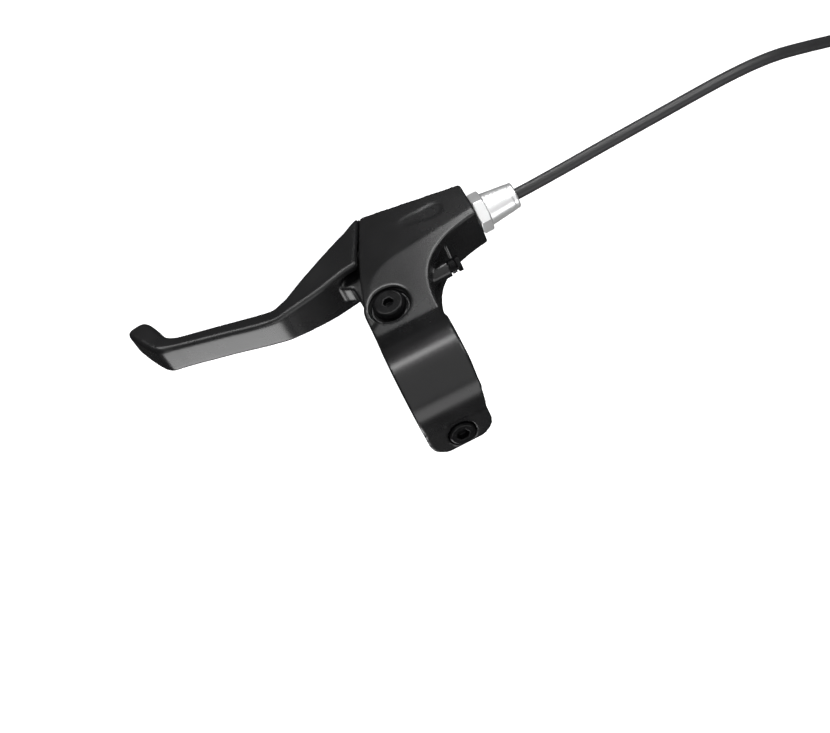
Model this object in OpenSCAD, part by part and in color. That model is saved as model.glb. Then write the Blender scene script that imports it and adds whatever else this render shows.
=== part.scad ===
// Left-hand bicycle brake lever with its bracket, handlebar clamp, cable adjuster and cable.
// X runs along the handlebar towards the middle of the bicycle, Y points forward, Z is the lever's pivot axis.
// The origin is the middle of the handlebar clamp's bore.

/* [Handlebar clamp] */
// Diameter of the handlebar that the clamp grips
bar_d = 22.2; // [21:0.1:24]
// Gap between bar and bore, on the radius
bar_clearance = 0.05; // [0.02:0.01:0.15]
// Wall of the clamp around the bar
clamp_wall = 5.35; // [4.5:0.05:7]
// Length of the clamp along the bar
clamp_w = 24; // [21:0.5:28]
// Width of the split between the clamp's ears
split_gap = 2.4; // [1.5:0.1:3.5]
// Distance from the split's middle to the ear's face under the bolt's head
ear_rear = 14; // [12.5:0.1:14.6]
// Distance from the split's middle to the ear's face at the nut
ear_front = 10.5; // [10.2:0.1:12]
// Lean of the ears towards the rider, in degrees
ear_lean = 9; // [0:1:15]
// Diameter of the clamp bolt
clamp_bolt_d = 5; // [4:0.5:5.5]

/* [Bracket] */
// Distance from the bar's axis to the lever's pivot, forward
pivot_y = 28.3; // [27.5:0.1:32]
// Place of the pivot along the bar
pivot_x = -3; // [-4:0.1:-2]
// Radius of the bracket round the pivot
pivot_boss_r = 9; // [8.6:0.1:9.6]
// Distance from pivot to cable, forward
cable_reach = 24.4; // [24:0.1:25.5]
// Place of the cable's outlet face along the bar
boss_end = 36.7; // [35.5:0.1:39]
// Distance from the middle plane to the top of the bracket
plate_top = 8.5; // [8:0.1:9.5]
// Distance from the middle plane to the inner face of a cheek
cheek_in = 4.1; // [4:0.05:4.4]
// Fall of the front cover away from the ridge, in degrees
cover_fall = 8; // [5:0.5:8.5]
// Wall behind the lever's slot
web_wall = 2.9; // [2.4:0.1:3.5]

/* [Lever] */
// Gap between the lever's hub and each cheek
lever_gap = 0.3; // [0.2:0.05:0.4]
// Radius of the lever's hub
hub_r = 7.5; // [7.2:0.1:8]
// Length of the blade from the pivot to the tip, along the bar
blade_reach = 84.7; // [79:0.1:92]
// Thickness of the blade where the fingers pull
blade_t = 6.2; // [5.4:0.1:7]
// Half height of the blade where the fingers pull
blade_h = 6.3; // [5.5:0.1:7]
// Gap between the lever's shoulders and the bracket's edge
shoulder_gap = 0.45; // [0.35:0.05:0.8]

/* [Pivot] */
// Diameter of the pivot bolt
pivot_bolt_d = 6; // [5:0.1:6.2]
// Wall of the pivot sleeve
sleeve_wall = 0.9; // [0.7:0.05:1.1]
// Radius of the pivot bolt's head
pivot_head_r = 5.7; // [5.2:0.1:6]
// Radius of the recess round the pivot bolt's head
pivot_recess_r = 7; // [6.6:0.1:7.4]
// Diameter of the return spring's wire
return_wire_d = 1; // [0.8:0.05:1.1]

/* [Cable] */
// Outer diameter of the cable housing
housing_d = 4; // [3.6:0.1:4.2]
// Diameter of the inner wire
wire_d = 1.5; // [1.2:0.1:1.6]
// Diameter of the barrel-shaped end of the inner wire
nipple_d = 7; // [6:0.1:7.2]
// Length of the barrel-shaped end
nipple_l = 5.6; // [5:0.1:6]
// Middle diameter of the stored coil
coil_d = 48; // [44:0.5:50]
// Step between the coil's turns
coil_step = 4.4; // [4.3:0.1:4.6]

/* [Adjuster] */
// Diameter of the adjuster's thread
adjuster_d = 7.9; // [7.5:0.1:8.2]
// Length of the adjuster's thread inside the bracket
adjuster_l = 12; // [10.5:0.5:12.5]
// Width of the lock nut across its flats
lock_nut_af = 12.6; // [11.4:0.1:13]
// Thickness of the lock nut
lock_nut_l = 4; // [3:0.1:4.5]
// Length of the adjuster's tapered barrel
barrel_l = 11.2; // [9.8:0.1:12.5]
// Radius of the barrel at its wide end
barrel_r = 5.8; // [5.5:0.1:6.1]
// Radius of the barrel at its narrow end
barrel_tip_r = 4.55; // [4.2:0.05:4.9]

/* [Reach screw] */
// Diameter of the reach screw
reach_d = 3.9; // [3.5:0.1:4.2]
// Distance from pivot to reach screw, forward
reach_fwd = 9; // [8:0.1:9.6]
// Free length of the little spring under the screw's head
reach_spring_l = 2.6; // [2.2:0.1:3.4]

/* [Hidden] */
$fn = 64;

eps = 0.01;
run_gap = 0.05;          // radial play of a turning or threaded pair
far = 100;               // longer than anything that is cut

bore_r = bar_d / 2 + bar_clearance;
clamp_r = bore_r + clamp_wall;
bolt_hole = 0.25;        // play of a bolt in its hole, on the radius
hole_wall = 0.7;         // wall between the bore and the bolt's hole
ear_inset = 2;           // how far the ears stand back on the inboard side
ear_corner = 6.2;
clamp_head_r = clamp_bolt_d / 2 + 1.9;
clamp_recess_r = clamp_head_r + 0.4;
clamp_bolt_drop = bore_r + hole_wall + bolt_hole + clamp_bolt_d / 2;   // from the bar's axis to the clamp bolt
ear_drop = clamp_bolt_drop + clamp_recess_r + 0.45;   // from the bar's axis to the ears' end
ear_mid_x = -0.7;
clamp_recess = 4.2;      // depth of the recess for the clamp bolt's head
clamp_washer_t = 0.8;
clamp_head_l = 4;
clamp_nut_af = clamp_bolt_d * 1.6;
clamp_nut_l = 4;
hex_fit = 0.1;           // play of a nut in its pocket, on each flat

cable_y = pivot_y + cable_reach;
cover_slope = tan(cover_fall);
ridge_r = 14.4;            // radius of the ridge's bend round the pivot
ridge_c = [pivot_x + 9.4, pivot_y + 3];
ridge_turn = 96.6;       // direction in which the bend turns into the straight ridge
plate_start = clamp_r + 1.2;                       // where the flat top leaves the clamp
slot_start = pivot_y - pivot_boss_r + 0.7;         // rear end of the lever's slot
boss_start = boss_end - 13.5;                      // inner end of the block round the adjuster
boss_r = adjuster_d / 2 + 2.3;
front_left = [pivot_x + 3.8, cable_y + 18.3];
front_right = [boss_end - 0.4, cable_y + 10];
nut_boss = 1.5;          // height of the boss round the pivot nut
web_step = 1.4;          // how far the wall between the cheeks stands back
recess_chamfer = 0.45;

arm_h = cheek_in - lever_gap;                      // half height of the lever inside the slot
sleeve_r = pivot_bolt_d / 2 + run_gap + sleeve_wall;
pivot_recess = 2;
pivot_head_l = 3.2;
pivot_socket_af = 3;
pivot_nut_af = pivot_bolt_d + 4;
pivot_nut_l = 3.4;
washer_gap = 0.03;
spring_coil_r = sleeve_r + 0.55 + return_wire_d / 2;
spring_well_r = spring_coil_r + return_wire_d / 2 + 0.3;
spring_turns = 2.5;
spring_well = (spring_turns + 1) * (return_wire_d + 0.1) + 0.2;
spring_foot = 250;       // direction of the leg that stands in the bracket
spring_leg = 1.6;

swing = 28;              // travel of the lever, in degrees
wire_rise = -0.3;        // how far the wire starts behind the adjuster's axis
anchor_r = (cable_reach + wire_rise) / cos(swing / 2);
anchor = [pivot_x + anchor_r * sin(swing / 2), cable_y + wire_rise];
wire_hole_r = wire_d / 2 + 0.5;
cable_slot_w = wire_d + 0.5;

face_gap = 0.06;         // gap between faces that turn on each other
nut_start = boss_end + face_gap;
nut_turn = 10;           // how far the lock nut is turned from a corner straight down
barrel_start = nut_start + lock_nut_l + face_gap;
barrel_end = barrel_start + barrel_l;
thread_start = boss_end - adjuster_l;
ferrule_wall = 0.35;
ferrule_r = housing_d / 2 + ferrule_wall;
ferrule_l = 9;
ferrule_seat = barrel_end - ferrule_l - 0.6;
ferrule_end = 1;         // thickness of a ferrule's end wall
end_ferrule_r = housing_d / 2 + 0.3;
end_ferrule_l = 9;
tail_l = 36;
end_cap_l = 6;
end_cap_r = wire_d / 2 + 0.4;

reach_y = pivot_y + reach_fwd;
pad_x = pivot_x + hub_r + 3;                       // face of the lever that the reach screw stops
reach_tip = pad_x + 0.3;
reach_boss_end = pivot_x + 23.3;
reach_boss_r = reach_d / 2 + 1.1;
reach_head_x = reach_boss_end + reach_spring_l;
reach_head_l = 1.6;
reach_head_af = reach_d + 1.1;
reach_wire_d = 0.55;

// The housing's route from the adjuster to the stored coil
housing_route = [[43.5, 0, 0], [54, 0, 0], [62, 0.1, 0.2], [74, 0.2, 0.8], [86, 0.3, 1.5], [98, 0.3, 2.2],
                 [110, 0.3, 2.9], [122, 0.3, 3.6], [133, 0.3, 4], [143, 0.3, 3.7], [152, 0.3, 2.4], [161, 0.3, -0.2],
                 [172, 0.3, -3.9], [183, 0.3, -7.6], [194, 0.3, -11.4], [205, 0.3, -15.6], [215, 0.3, -19.7]];
coil_c = [206, 0.3, -42];
coil_entry = 68;         // direction from the coil's middle to the housing's entry
tie_at = 205;            // direction of the tie on the coil
coil_wide = housing_d + 2.2 * coil_step;           // width of the turns side by side
tail_at = [coil_c[0] + coil_d / 2, cable_y + coil_c[1] + coil_step * (coil_entry + 720) / 360, coil_c[2]];
stub_l = 23.5;           // straight end of the housing beyond the stored turns

black = [0.12, 0.12, 0.13];
steel = [0.62, 0.63, 0.65];
silver = [0.86, 0.87, 0.88];

// ---- outlines and sweeps ----

function arc(c, r, from, to, n) =
    [for (i = [0:n]) let (a = from + (to - from) * i / n) c + r * [cos(a), sin(a)]];

function bezier(a, b, c, d, n) =
    [for (i = [0:n]) let (t = i / n, s = 1 - t) s*s*s*a + 3*s*s*t*b + 3*s*t*t*c + t*t*t*d];

// Catmull-Rom curve through a list of stations of any length
function spline(p, n) = let (last = len(p) - 1)
    [for (k = [0:last * n]) let (i = min(floor(k / n), last - 1), t = k / n - i,
        p0 = p[max(i - 1, 0)], p1 = p[i], p2 = p[i + 1], p3 = p[min(i + 2, last)])
        0.5 * (2*p1 + t*(p2 - p0) + t*t*(2*p0 - 5*p1 + 4*p2 - p3) + t*t*t*(3*p1 - p0 - 3*p2 + p3))];

function unit(v) = v / norm(v);

function tangents(path) = let (last = len(path) - 1)
    [for (i = [0:last]) unit(path[min(i + 1, last)] - path[max(i - 1, 0)])];

// A side direction carried along the path without twisting
function carried(ts, n, i = 0, done = []) = i == len(ts) ? done :
    let (m = unit(n - (n * ts[i]) * ts[i])) carried(ts, m, i + 1, concat(done, [m]));

// Closed skin over rings of equal size
module skin(rings) {
    n = len(rings[0]);
    last = len(rings) - 1;
    walls = [for (i = [0:last - 1], j = [0:n - 1]) let (k = (j + 1) % n)
        each [[i*n + j, i*n + k, (i + 1)*n + k], [i*n + j, (i + 1)*n + k, (i + 1)*n + j]]];
    polyhedron(points = [for (ring = rings) each ring],
        faces = concat([[for (j = [n - 1:-1:0]) j]], walls, [[for (j = [0:n - 1]) last*n + j]]));
}

module tube(path, r, sides, side_dir) {
    ts = tangents(path);
    ns = carried(ts, side_dir);
    skin([for (i = [0:len(path) - 1]) let (b = cross(ts[i], ns[i]))
        [for (j = [0:sides - 1]) let (a = -360 * j / sides) path[i] + r * (cos(a) * ns[i] + sin(a) * b)]]);
}

module along_x(x, y = 0, z = 0) { translate([x, y, z]) rotate([0, 90, 0]) children(); }

// Everything inside is turned with the clamp's ears: -Z is down the split, -Y is towards the rider
module ear_frame() { rotate([-ear_lean, 0, 0]) children(); }

module hexagon(af, h) { cylinder(d = af / cos(30), h = h, $fn = 6); }

// Cut from the cable's axis downwards that lets the inner wire be laid in
module slit(from) { translate([from, cable_y - cable_slot_w / 2, -far]) cube([far, cable_slot_w, far]); }

// ---- bracket ----

// Left edge of the cheeks, moved outwards by grow
function left_edge(grow) = concat(
    arc([pivot_x, pivot_y], pivot_boss_r + grow, 180, 150, 4),
    bezier([pivot_x - 7.8 - grow, pivot_y + 4.5], [pivot_x - 6.6 - grow, pivot_y + 10],
           [pivot_x - 4.6 - grow, pivot_y + 17.5], [pivot_x - 2.6 - grow, pivot_y + 24.5], 6),
    [[front_left[0] - 0.4 - grow, front_left[1] - 1.2]]);

function rear_curve(grow) = bezier([boss_end, cable_y - 6.1 - grow], [boss_end - 16.7, cable_y - 8.5 - grow],
    [pivot_x + 14.5 + grow, pivot_y + 10.2], [pivot_x + 14.3 + grow, plate_start + 1.8], 12);

function cheek_outline() = concat([[-clamp_w / 2, 0]], left_edge(0),
    [front_left + [0.2, -0.3], front_left + [1.4, 0], front_right, [boss_end, front_right[1] - 1]],
    rear_curve(0), [[clamp_w / 2, plate_start - 4], [clamp_w / 2, 0]]);

// The space between the cheeks, open to the front and to the lever's side
function slot_outline() = concat([[-far, slot_start], [-far, far], [boss_start, far], [boss_start, cable_y - 4]],
    [for (p = rear_curve(-web_wall)) if (p[0] < boss_start - 0.5 && p[1] > slot_start) p],
    [[pivot_x + 14.2 - web_wall, slot_start]]);

// What falls away in front of the ridge: a cone round the pivot's end and a plane along the straight
module cover_fall_cut() {
    translate([ridge_c[0], ridge_c[1], plate_top]) {
        rotate([0, 0, ridge_turn]) rotate_extrude(angle = 110)
            polygon([[ridge_r, 0], [ridge_r + far, -far * cover_slope], [ridge_r + far, 20], [ridge_r, 20]]);
        rotate([0, 0, ridge_turn - 90]) rotate([90, 0, 90]) translate([0, 0, -eps]) linear_extrude(far)
            polygon([[ridge_r, 0], [ridge_r + far, -far * cover_slope], [ridge_r + far, 20], [ridge_r, 20]]);
    }
}

// A shallow dish in the cover, shaped like the side of a thumb and deepest towards the cable
module cover_dish() {
    deep = 0.9;
    translate([ridge_c[0], ridge_c[1], plate_top]) rotate([0, 0, ridge_turn - 90]) translate([0, ridge_r, 0])
        rotate([-cover_fall, 0, 0]) hull() {
            translate([boss_end - 16, 9.3, -deep]) cylinder(r1 = 3, r2 = 5.4, h = 2.4, $fn = 48);
            translate([boss_end - 25.5, 11.6, -deep / 3]) cylinder(r1 = 2.2, r2 = 4.2, h = 2, $fn = 48);
        }
}

module clamp_body() {
    chamfer = 0.6;
    along_x(-clamp_w / 2) cylinder(r = clamp_r, h = clamp_w - chamfer);
    along_x(clamp_w / 2 - chamfer) cylinder(r1 = clamp_r, r2 = clamp_r - chamfer, h = chamfer);
    low = -ear_drop;
    left = -clamp_w / 2;
    right = clamp_w / 2 - ear_inset;
    ear_frame() translate([0, ear_front, 0]) rotate([90, 0, 0]) linear_extrude(ear_rear + ear_front)
        polygon(concat([[left, 0]], arc([left + ear_corner, low + ear_corner], ear_corner, 180, 270, 8),
            arc([right - ear_corner, low + ear_corner], ear_corner, 270, 360, 8), [[right, 0]]));
}

// Solid between the clamp ring and the cheeks, flush with straight flanks that touch the ring
module neck() {
    reach = norm([plate_start, plate_top]);
    turn = atan2(plate_top, plate_start) + acos(min(1, clamp_r / reach));
    touch = clamp_r * [cos(turn), sin(turn)];
    translate([-clamp_w / 2, 0, 0]) rotate([90, 0, 90]) linear_extrude(clamp_w / 2 + pivot_x + 14.2)
        polygon([[0, 0], touch, [plate_start, plate_top], [slot_start, plate_top],
                 [slot_start, -plate_top], [plate_start, -plate_top], [touch[0], -touch[1]]]);
}

module cheeks() {
    difference() {
        translate([0, 0, -plate_top]) linear_extrude(2 * plate_top) polygon(cheek_outline());
        // the clamp ring carries the bracket behind the flat top
        translate([-far, -far, -far]) cube([2 * far, far + plate_start - 2, 2 * far]);
        translate([0, 0, -cheek_in]) linear_extrude(2 * cheek_in) polygon(slot_outline());
        cover_fall_cut();
        mirror([0, 0, 1]) cover_fall_cut();
        cover_dish();
        // the wall steps in between the cheeks and leaves the cable boss standing proud
        translate([0, 0, -cheek_in - 0.6]) linear_extrude(2 * cheek_in + 1.2) polygon(concat(
            [for (p = rear_curve(1)) if (p[0] < boss_start) p],
            [for (i = [12:-1:0]) let (p = rear_curve(-web_step)[i]) if (p[0] < boss_start) p]));
    }
}

module clamp_fastener_cuts() {
    ear_frame() {
        // the clamp's inboard end slopes down to the ear on the rider's side
        rotate([90, 0, 0]) linear_extrude(far) polygon([[clamp_w / 2 + 0.1, bore_r + 1],
            [clamp_w / 2 - ear_inset, -8], [clamp_w / 2 - ear_inset, -far], [far, -far], [far, bore_r + 1]]);
        translate([-far, -split_gap / 2, -far]) cube([2 * far, split_gap, far]);
        translate([ear_mid_x, 0, -clamp_bolt_drop]) rotate([90, 0, 0]) {
            translate([0, 0, -far]) cylinder(r = clamp_bolt_d / 2 + bolt_hole, h = 2 * far);
            translate([0, 0, ear_rear - clamp_recess]) cylinder(r = clamp_recess_r, h = far);
            translate([0, 0, -far]) rotate([0, 0, 30])
                hexagon(clamp_nut_af + 2 * hex_fit, far - ear_front + clamp_nut_l + 0.2);
        }
    }
}

module pivot_cuts() {
    translate([pivot_x, pivot_y, -far]) cylinder(r = pivot_bolt_d / 2 + run_gap, h = 2 * far);
    translate([pivot_x, pivot_y, plate_top - pivot_recess]) cylinder(r = pivot_recess_r, h = far);
    translate([pivot_x, pivot_y, plate_top - recess_chamfer])
        cylinder(r1 = pivot_recess_r, r2 = pivot_recess_r + 2 * recess_chamfer, h = 2 * recess_chamfer);
    translate([pivot_x, pivot_y, -far])
        hexagon(pivot_nut_af + 2 * hex_fit, far - plate_top - nut_boss + pivot_nut_l);
    translate([pivot_x, pivot_y, 0] + spring_coil_r * [cos(spring_foot), sin(spring_foot), 0])
        translate([0, 0, -cheek_in - spring_leg - 0.3]) cylinder(r = return_wire_d / 2 + 0.1, h = 2, $fn = 24);
}

module bracket() color(black) {
    difference() {
        union() {
            clamp_body();
            neck();
            cheeks();
            along_x(boss_start, cable_y) cylinder(r = boss_r, h = boss_end - boss_start);
            along_x(pad_x + 2.4, reach_y) cylinder(r = reach_boss_r, h = reach_boss_end - pad_x - 2.4);
            translate([pivot_x, pivot_y, -plate_top - nut_boss]) cylinder(r = pivot_boss_r - 0.6, h = nut_boss + 1);
        }
        along_x(-far) cylinder(r = bore_r, h = 2 * far);
        clamp_fastener_cuts();
        pivot_cuts();
        along_x(boss_start - 1, cable_y) cylinder(r = adjuster_d / 2 + run_gap, h = far);
        slit(boss_start - 1);
        along_x(pad_x, reach_y) cylinder(r = reach_d / 2 + run_gap, h = far);
    }
}

// ---- lever ----

// Stations of the blade's rear face: x and y from the pivot, thickness, half height, front edge radius
function blade_stations() = let (k = blade_reach / 84.7, t = blade_t, h = blade_h) [
    [5, 21.2, 22.8, 9.5, 0.8], [-1, 20.9, 19.1, 9.6, 0.8], [-8, 20.5, 15.4, 9.5, 0.9], [-18, 18.5, t + 4, 8.8, 1.2],
    [-27 * k, 17.6, t + 2, h + 1.6, 1.8], [-32 * k, 17.3, t + 0.9, h + 1, 2.2],
    [-36.5 * k, 17.3, t + 0.4, h + 0.3, 2.4], [-44 * k, 19.1, t + 0.4, h, 2.4], [-55.4 * k, 22.6, t, h, 2.4],
    [-67 * k, 25.8, t - 0.2, h + 0.1, 2.4], [-71.2 * k, 27, t - 0.3, h + 0.2, 2.4],
    [-74.6 * k, 28.5, t - 0.2, h + 0.3, 2.4], [-77.5 * k, 30.4, t + 0.2, h + 0.2, 2.5],
    [-80 * k, 33.2, t + 0.8, h, 2.7], [-82.1 * k, 37, t + 1.2, h - 0.2, 2.9],
    [-84 * k, 41.1, t + 1.2, h - 0.7, 3.1], [-84.7 * k, 42.8, t + 1, h - 1.2, 3.1]];

// One ring of the blade: flat rear face with soft edges, sloping top and bottom, rounded front
function blade_ring(s, dir, shrink) = let (
    side = [-dir[1], dir[0]],                       // towards the front of the lever
    t = s[2], h = s[3] * shrink, r = min(s[4], t / 2.1) * shrink, rear_r = min(0.9, h / 3),
    front_h = max(h - (t - r) * cover_slope * 1.3, r + 0.05),
    mid = t / 2, q = shrink,
    profile = concat(
        arc([rear_r, -h + rear_r], rear_r, 180, 270, 4), arc([t - r, -front_h + r], r, 278, 360, 5),
        arc([t - r, front_h - r], r, 0, 82, 5), arc([rear_r, h - rear_r], rear_r, 90, 180, 4)))
    [for (p = profile) let (v = mid + (p[0] - mid) * q)
        [pivot_x + s[0] + side[0] * v, pivot_y + s[1] + side[1] * v, p[1]]];

module blade() {
    line = spline(blade_stations(), 4);
    last = len(line) - 1;
    flat = [for (s = line) [s[0], s[1]]];
    dirs = tangents(flat);
    // the tip closes in a round nose
    nose = 2.3;
    skin(concat([for (i = [0:last]) blade_ring(line[i], -dirs[i], 1)],
        [for (a = [25, 45, 62, 76, 86]) blade_ring(line[last] + [dirs[last][0], dirs[last][1], 0, 0, 0] * nose * sin(a),
            -dirs[last], cos(a))]));
}

// The lever's root between the cheeks, with the pad that the reach screw stops
function root_outline() = concat(
    [[pivot_x - hub_r, pivot_y], [pivot_x - 8.5, pivot_y + 16.8], [pivot_x - 12, pivot_y + 18.8],
     [pivot_x - 14, pivot_y + 24], [pivot_x, front_left[1] - 6], [pivot_x + 6, front_left[1] - 5],
     [pivot_x + 12, cable_y + 7], [pivot_x + 12, cable_y - 5.4],
     [pad_x, reach_y + 3], [pad_x, reach_y - 2.6], [pivot_x + 5.5, pivot_y + 2]],
    arc([pivot_x, pivot_y], hub_r, 0, -180, 24));

// Outline of the cheeks as the lever sees them, for cutting its shoulders
function shoulder_outline() = concat([[-clamp_w / 2 - shoulder_gap, -far]], left_edge(shoulder_gap),
    [[front_left[0] - 0.2, far], [far, far], [far, -far]]);

module lever_blade() color(black) {
    difference() {
        union() {
            blade();
            translate([0, 0, -arm_h]) linear_extrude(2 * arm_h) polygon(root_outline());
        }
        for (up = [0, 1]) mirror([0, 0, up]) {
            translate([0, 0, arm_h]) linear_extrude(far) polygon(shoulder_outline());
            // pocket between the arm and the flange above it
            translate([0, 0, arm_h]) linear_extrude(2.5)
                polygon([[pivot_x - 14.5, pivot_y + 16], [pivot_x + 4, pivot_y + 16], [pivot_x + 4, pivot_y + 34],
                         [pivot_x - 5, pivot_y + 28.5]]);
        }
        translate([pivot_x, pivot_y, -far]) cylinder(r = sleeve_r + run_gap, h = 2 * far);
        translate([pivot_x, pivot_y, -far]) cylinder(r = spring_well_r, h = far - arm_h + spring_well);
        // upper end of the return spring
        translate([pivot_x, pivot_y, 0] + spring_coil_r * [cos(spring_top()), sin(spring_top()), 0])
            cylinder(r = return_wire_d / 2 + 0.15, h = far, $fn = 24);
        // seat of the cable's barrel end, open below, and the wedge that the wire swings in
        translate([anchor[0], anchor[1], -far]) cylinder(r = nipple_d / 2 + run_gap, h = far + nipple_l / 2 + 0.1);
        translate([anchor[0], anchor[1], -far]) linear_extrude(far + wire_d / 2 + 0.5)
            polygon([[-1, -cable_slot_w / 2], [-1, cable_slot_w / 2], [20, cable_slot_w / 2],
                     20 * [cos(swing + 5), -sin(swing + 5)]]);
    }
}

// ---- pivot ----

module socket(af, depth) { translate([0, 0, -depth]) hexagon(af, depth + 1); }

module pivot_bolt() color(black) {
    seat = plate_top - pivot_recess;
    foot = plate_top + nut_boss - 0.4;
    top = seat + pivot_head_l;
    chamfer = 0.7;
    translate([pivot_x, pivot_y, 0]) difference() {
        union() {
            translate([0, 0, -foot]) cylinder(d = pivot_bolt_d, h = foot + seat + eps);
            translate([0, 0, seat]) cylinder(r = pivot_head_r, h = pivot_head_l - chamfer);
            translate([0, 0, top - chamfer]) cylinder(r1 = pivot_head_r, r2 = pivot_head_r - chamfer, h = chamfer);
        }
        translate([0, 0, top]) socket(pivot_socket_af, 2.2);
    }
}

module pivot_nut() color(steel)
    translate([pivot_x, pivot_y, -plate_top - nut_boss]) difference() {
        hexagon(pivot_nut_af, pivot_nut_l);
        translate([0, 0, -1]) cylinder(r = pivot_bolt_d / 2, h = pivot_nut_l + 2);
    }

module pivot_sleeve() color([0.72, 0.6, 0.3])
    translate([pivot_x, pivot_y, -cheek_in]) difference() {
        cylinder(r = sleeve_r, h = 2 * cheek_in);
        translate([0, 0, -1]) cylinder(r = pivot_bolt_d / 2 + run_gap, h = 2 * cheek_in + 2);
    }

module thrust_washers() color([0.9, 0.9, 0.88])
    for (up = [0, 1]) mirror([0, 0, up]) translate([pivot_x, pivot_y, arm_h + washer_gap]) difference() {
        cylinder(r = hub_r - 0.4, h = lever_gap - 2 * washer_gap);
        translate([0, 0, -1]) cylinder(r = sleeve_r + run_gap, h = 3);
        // room for the return spring's leg
        rotate([0, 0, spring_foot]) translate([spring_coil_r, 0, -1]) cylinder(r = return_wire_d, h = 3, $fn = 24);
    }

function spring_top() = spring_foot + 360 * spring_turns;

// Torsion spring in the hub's well, with a leg down into the bracket and one up into the lever
module return_spring() color(steel) {
    pitch = return_wire_d + 0.1;
    base = -arm_h + return_wire_d / 2 + 0.1;
    n = 20;
    turns = [for (i = [0:n * spring_turns]) let (a = spring_foot + 360 * i / n)
        [pivot_x + spring_coil_r * cos(a), pivot_y + spring_coil_r * sin(a), base + pitch * i / n]];
    foot = turns[0];
    head = turns[len(turns) - 1];
    tube(concat([foot - [0, 0, spring_leg + base + cheek_in], foot - [0, 0, 0.55]],
        [for (i = [1:len(turns) - 2]) turns[i]], [head + [0, 0, 0.55], head + [0, 0, 2.2]]),
        return_wire_d / 2, 8, [1, 0, 0]);
}

// ---- cable end and adjuster ----

module cable_nipple() color(steel)
    translate([anchor[0], anchor[1], -nipple_l / 2]) difference() {
        cylinder(d = nipple_d, h = nipple_l);
        along_x(-1, 0, nipple_l / 2) cylinder(d = wire_d, h = 10);
    }

module inner_wire() color(steel)
    along_x(anchor[0] - 1, anchor[1]) cylinder(d = wire_d, h = ferrule_seat + 3 - anchor[0] + 1);

module barrel_adjuster() color(silver) {
    rim = 1.9;
    difference() {
        union() {
            along_x(thread_start, cable_y) cylinder(d = adjuster_d, h = barrel_start - thread_start + eps);
            along_x(barrel_start, cable_y) cylinder(r1 = barrel_r, r2 = barrel_tip_r + 0.2, h = barrel_l - rim);
            along_x(barrel_end - rim, cable_y) cylinder(r = barrel_tip_r + 0.05, h = rim - 0.4);
            along_x(barrel_end - 0.4, cable_y) cylinder(r1 = barrel_tip_r + 0.05, r2 = barrel_tip_r - 0.35, h = 0.4);
        }
        along_x(thread_start - 1, cable_y) cylinder(r = wire_hole_r, h = far);
        along_x(ferrule_seat, cable_y) cylinder(r = ferrule_r + run_gap, h = far);
        slit(thread_start - 1);
    }
}

module lock_nut() color(silver) {
    chamfer = 0.45;
    face_r = lock_nut_af / 2 + 0.1;
    difference() {
        along_x(nut_start, cable_y) intersection() {
            rotate([0, 0, nut_turn]) hexagon(lock_nut_af, lock_nut_l);
            union() {
                cylinder(r1 = face_r, r2 = face_r + 1, h = chamfer);
                translate([0, 0, chamfer]) cylinder(r = face_r + 1, h = lock_nut_l - 2 * chamfer);
                translate([0, 0, lock_nut_l - chamfer]) cylinder(r1 = face_r + 1, r2 = face_r, h = chamfer);
            }
        }
        along_x(nut_start - 1, cable_y) cylinder(r = adjuster_d / 2 + run_gap, h = far);
        slit(nut_start - 1);
    }
}

// Cap on the housing's end: a thin cup with a hole for the wire
module housing_ferrule() color(steel)
    difference() {
        along_x(ferrule_seat, cable_y) cylinder(r = ferrule_r, h = ferrule_l);
        along_x(ferrule_seat - 1, cable_y) cylinder(r = wire_hole_r, h = far);
        along_x(ferrule_seat + ferrule_end, cable_y) cylinder(d = housing_d, h = far);
    }

function housing_line() = spline([for (p = housing_route) p + [0, cable_y, 0]], 4);

// The housing up to the stored turns, and its straight end beyond them
module cable_housing() color(black) {
    difference() {
        tube(housing_line(), housing_d / 2, 8, [0, 0, 1]);
        // the liner's bore at the ferrule
        along_x(40, cable_y) cylinder(r = wire_hole_r, h = 10, $fn = 24);
    }
    translate(tail_at - [0, 0, stub_l]) cylinder(d = housing_d, h = stub_l, $fn = 24);
}

module coil_turned(at) {
    translate([coil_c[0], cable_y + coil_c[1], coil_c[2]]) rotate([0, -at, 0]) children();
}

// Outer shape of the stored turns, side by side along Y
module cable_coil() color(black)
    translate([coil_c[0], cable_y + coil_c[1] - housing_d / 2, coil_c[2]]) rotate([-90, 0, 0]) rotate_extrude()
        translate([coil_d / 2 - housing_d / 2, 0]) square([housing_d, coil_wide]);

module coil_tie() color([0.1, 0.1, 0.1]) {
    band = 0.8;
    clear = 0.15;
    coil_turned(tie_at) translate([coil_d / 2, (coil_wide - housing_d) / 2, 0]) difference() {
        cube([housing_d + 2 * (band + clear), coil_wide + 2 * (band + clear), 4], center = true);
        cube([housing_d + 2 * clear, coil_wide + 2 * clear, 5], center = true);
    }
}

module end_ferrule() color(steel)
    translate(tail_at - [0, 0, stub_l + ferrule_end]) difference() {
        cylinder(r = end_ferrule_r, h = end_ferrule_l);
        translate([0, 0, -1]) cylinder(d = wire_d, h = far, $fn = 24);
        translate([0, 0, ferrule_end]) cylinder(d = housing_d, h = far, $fn = 24);
    }

module wire_tail() color(steel)
    translate(tail_at - [0, 0, stub_l + tail_l]) cylinder(d = wire_d, h = tail_l, $fn = 24);

module wire_end_cap() color(silver)
    translate(tail_at - [0, 0, stub_l + tail_l + 1]) difference() {
        cylinder(r = end_cap_r, h = end_cap_l, $fn = 24);
        translate([0, 0, 1]) cylinder(d = wire_d, h = end_cap_l, $fn = 24);
    }

// ---- reach screw ----

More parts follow.
